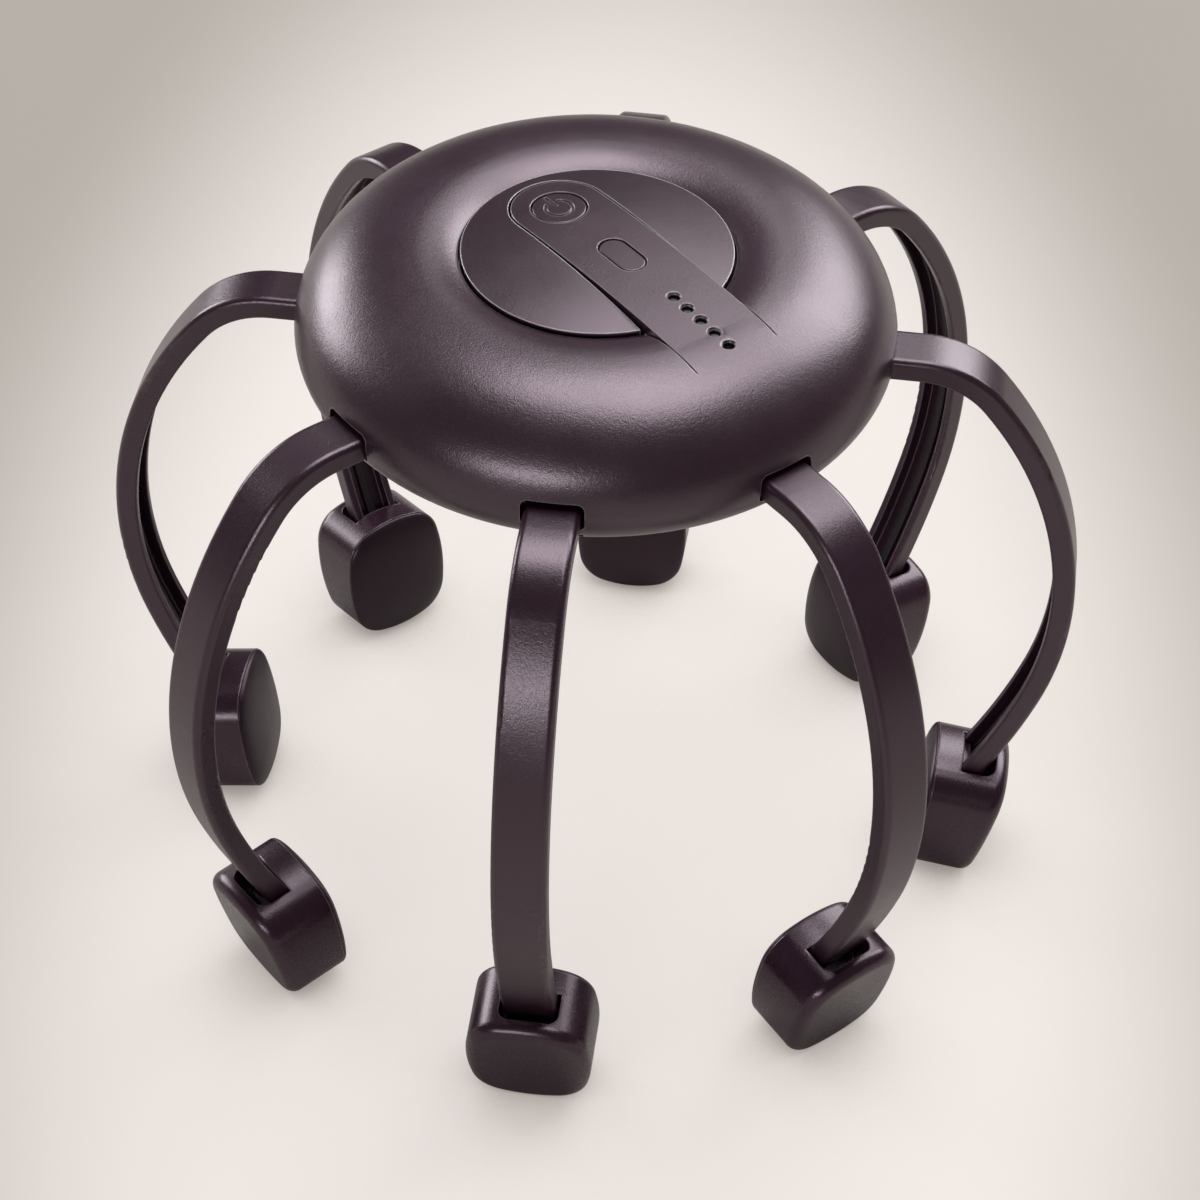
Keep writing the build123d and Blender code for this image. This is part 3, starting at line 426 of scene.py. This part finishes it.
lead_sheath = rubber("lead", (0.014, 0.012, 0.013), 0.48, 0.00035, 0.000008)
lead_mesh = twin_lead()
for number in arm_numbers:
    placed(
        f"twin_lead_{number}", lead_mesh, number, lead_sheath,
        f"arm_{number}", f"arm_lead_{number}")
lead_mesh.free()


# ---- Head shells ----
# A hard shell of the arms' plastic around each motor, with a socket for the arm in its top and a
# slanted flat outer face. It rides on its arm.
head_plastic = satin_plastic(
    "head_plastic", (0.0185, 0.0048, 0.0125), shine=0.66, roughness=0.27, grain_size=0.00070,
    grain_height=0.000028, edge_radius=0.0006)
for number in arm_numbers:
    dress(f"head_shell_{number}", head_plastic)


# ---- Scalp pads ----
# A domed pad of soft charcoal rubber closes each head's mouth. It is rounded right to its edge,
# which lies over the shell's lip and flush with the shell's sides.
head_place = Vector((0.0808436, 0, -0.1225025))
head_lean = radians(8.5)
head_inner = 0.0058
pad_half_width = 0.0130 - 0.00005
pad_half_height = 0.0147 - 0.00005
side_bow = 0.0019
end_bow = 0.0026
pad_corner = 0.0080
pad_dome = 0.0028
pad_seat = 0.00005


def quarter_outline(mesh):
    """A quarter of the pad's plan: half a side, the round corner and half an end, as three arcs."""
    side = ((pad_half_height - end_bow) ** 2 + side_bow ** 2) / (2 * side_bow)
    end = ((pad_half_width - side_bow) ** 2 + end_bow ** 2) / (2 * end_bow)
    side_centre = Vector((pad_half_width - side, 0, 0))
    end_centre = Vector((0, pad_half_height - end, 0))
    gap = end_centre - side_centre
    reach, across = side - pad_corner, end - pad_corner
    along = (reach ** 2 - across ** 2 + gap.length_squared) / (2 * gap.length)
    lift = sqrt(reach ** 2 - along ** 2)
    unit = gap.normalized()
    corner_centre = side_centre + unit * along + Vector((-unit.y, unit.x, 0)) * lift
    first = atan2(*(corner_centre - side_centre).yx)
    second = atan2(*(corner_centre - end_centre).yx)
    tip = [mesh.verts.new((pad_half_width, 0, 0))]
    for centre, angle, steps in (
        (side_centre, first, 8), (corner_centre, second - first, 12), (end_centre, pi / 2 - second, 8)
    ):
        tip = turned_about(mesh, tip, centre, (0, 0, 1), angle, steps)


def pad_rings():
    """Rings of the half-ellipsoid dome from its rim inwards: a share of the plan, and the height."""
    turns = [radians(turn) for turn in (6, 12, 18, 24, 31, 38, 46, 54, 62, 70, 78, 85)]
    return [(cos(turn), pad_dome * sin(turn)) for turn in turns]


def domed_pad():
    mesh = bmesh.new()
    quarter_outline(mesh)
    for axis in ("X", "Y"):
        bmesh.ops.mirror(mesh, geom=mesh.verts[:] + mesh.edges[:], axis=axis, merge_dist=1e-6)
    bmesh.ops.remove_doubles(mesh, verts=mesh.verts, dist=1e-6)
    seat = -head_inner - pad_seat
    bmesh.ops.translate(mesh, vec=(0, 0, seat), verts=mesh.verts)
    ring = mesh.edges[:]
    before = 1.0
    for share, height in pad_rings():
        grown = bmesh.ops.extrude_edge_only(mesh, edges=ring)["geom"]
        inner = {g for g in grown if isinstance(g, bmesh.types.BMVert)}
        ring = [g for g in grown
                if isinstance(g, bmesh.types.BMEdge) and all(v in inner for v in g.verts)]
        bmesh.ops.scale(mesh, vec=(share / before, share / before, 1), verts=list(inner))
        for vertex in inner:
            vertex.co.z = seat - height
        before = share
    bmesh.ops.holes_fill(mesh, edges=mesh.edges, sides=0)
    bmesh.ops.recalc_face_normals(mesh, faces=mesh.faces)
    lean = Matrix((
        (0, sin(head_lean), cos(head_lean), head_place.x),
        (1, 0, 0, 0),
        (0, cos(head_lean), -sin(head_lean), head_place.z),
        (0, 0, 0, 1),
    ))
    bmesh.ops.transform(mesh, matrix=lean, verts=mesh.verts)
    return mesh


pad_rubber = rubber("pad_rubber", (0.0120, 0.0060, 0.0095), 0.36, 0.00040, 0.000012)
pad_mesh = domed_pad()
for number in arm_numbers:
    pad = placed(
        f"rubber_pad_{number}", pad_mesh, number, pad_rubber,
        f"arm_{number}", f"scalp_pad_{number}")
pad_mesh.free()


# ---- Floor ----
# A wide sheet of warm pale paper under the massager. Its glow, as the camera sees it, holds a painted
# pool of light in an oval around the massager and painted shadow close to whatever stands on it.

def paper():
    made, wire, shader = material("paper", {"Specular IOR Level": 0.2})
    place = wire.node("TexCoord", out=3)
    fibre = wire.node("TexNoise", None, {
        "Vector": place, "Scale": 700.0, "Detail": 4.0, "Roughness": 0.7})
    mottle = wire.node("TexNoise", None, {"Vector": place, "Scale": 14.0, "Detail": 4.0})
    tone = (fibre * 0.3 + mottle * 0.7).between(0.3, 0.7)
    connect(wire, shader, {
        "Base Color": tone.mix((0.450, 0.408, 0.384), (0.468, 0.426, 0.402)),
        "Roughness": 0.8 + fibre * 0.15,
        "Normal": wire.node("Bump", None, {"Strength": 0.2, "Distance": 0.00005, "Height": fibre}),
    })
    oval = wire.node("Mapping", {"vector_type": "TEXTURE"}, {
        "Vector": place, "Location": (0.002, 0.0, 0.0), "Rotation": (0.0, 0.0, 0.123),
        "Scale": (1.0, 2.5, 1.0)})
    away = wire.node("VectorMath", {"operation": "LENGTH"}, {0: oval}, out=1)
    # Painted shadow: ambient occlusion darkens the floor's glow close to whatever stands on it.
    openness_for_painted_shadow = wire.node("AmbientOcclusion", {"samples": 8}, {"Distance": 0.12}, out=1)
    # Painted pool of light: the glow is brightest in an oval around the massager and falls off beyond
    # it.
    painted_light_pool = away.between(0.085, 0.19).mix((1.0, 0.935, 0.897), (0.40, 0.362, 0.330))
    painted_light_and_shadow = openness_for_painted_shadow.between(0.0, 0.9).mix((0.34, 0.29, 0.26), painted_light_pool)
    painted_floor_glow = wire.node("Emission", None, {"Color": painted_light_and_shadow, "Strength": 1.0})
    rays = {output: wire.node("LightPath", out=output) for output in (0, 3, 6)}
    seen = rays[0] * 0.74 + rays[3] * 0.1 + rays[6] * 0.74
    both = wire.node("MixShader", None, {0: seen, 1: Wire(wire.tree, shader.outputs[0]), 2: painted_floor_glow})
    wire.tree.links.new(both.socket, wire.tree.nodes["Material Output"].inputs["Surface"])
    return made


sheet_mesh = bmesh.new()
bmesh.ops.create_grid(sheet_mesh, x_segments=1, y_segments=1, size=12.0)
sheet_data = bpy.data.meshes.new("floor")
sheet_mesh.to_mesh(sheet_data)
sheet_mesh.free()
sheet_data.materials.append(paper())
floor = bpy.data.objects.new("floor", sheet_data)
bpy.context.scene.collection.objects.link(floor)


# ---- Lights ----
# Large softboxes overhead, behind on the right and low behind on the left, a strip low in front and
# a narrow one high at the back, in a room of even pale light.
world = bpy.data.worlds.new("room")
bpy.context.scene.world = world
world.use_nodes = True
backdrop = world.node_tree.nodes["Background"]
backdrop.inputs["Color"].default_value = (0.84, 0.80, 0.77, 1.0)
backdrop.inputs["Strength"].default_value = 0.16

aim_height = 0.14
for name, azimuth, elevation, distance, width, height, watts in (
    ("top softbox", 67.6, 76.0, 1.5, 1.10, 0.88, 18.5),
    ("right softbox", 55.2, 33.8, 1.5, 0.93, 0.94, 17.5),
    ("left softbox", 150.0, 14.0, 1.5, 0.85, 0.55, 12.0),
    ("front strip", -106.0, 16.0, 1.5, 0.85, 0.22, 6.4),
    ("back strip", 89.3, 47.5, 1.5, 0.27, 0.67, 1.6),
):
    lamp = bpy.data.lights.new(name, "AREA")
    lamp.shape = "RECTANGLE"
    lamp.size = width
    lamp.size_y = height
    lamp.energy = watts
    lamp.color = (0.96, 1.0, 0.98)
    softbox = bpy.data.objects.new(name, lamp)
    a, e = radians(azimuth), radians(elevation)
    towards = Vector((cos(a) * cos(e), sin(a) * cos(e), sin(e)))
    softbox.location = Vector((0, 0, aim_height)) + towards * distance
    softbox.rotation_mode = "QUATERNION"
    softbox.rotation_quaternion = towards.to_track_quat("Z", "Y")
    softbox.visible_camera = False
    bpy.context.scene.collection.objects.link(softbox)


# ---- Camera ----
# Above the front, a little to the right, with a long lens.
lens = bpy.data.cameras.new("camera")
lens.sensor_width = 36.0
lens.lens = 101.76
camera = bpy.data.objects.new("camera", lens)
right = Vector((0.99045, 0.13697, 0.01568)).normalized()
forward = Vector((-0.09076, 0.73347, -0.67364)).normalized()
up = right.cross(forward)
stand = Matrix((right, up, -forward)).transposed().to_4x4()
camera.matrix_world = Matrix.Translation((0.06790, -0.53284, 0.41423 + rim_height)) @ stand
bpy.context.scene.collection.objects.link(camera)
bpy.context.scene.camera = camera
bpy.context.scene.view_settings.view_transform = "Standard"
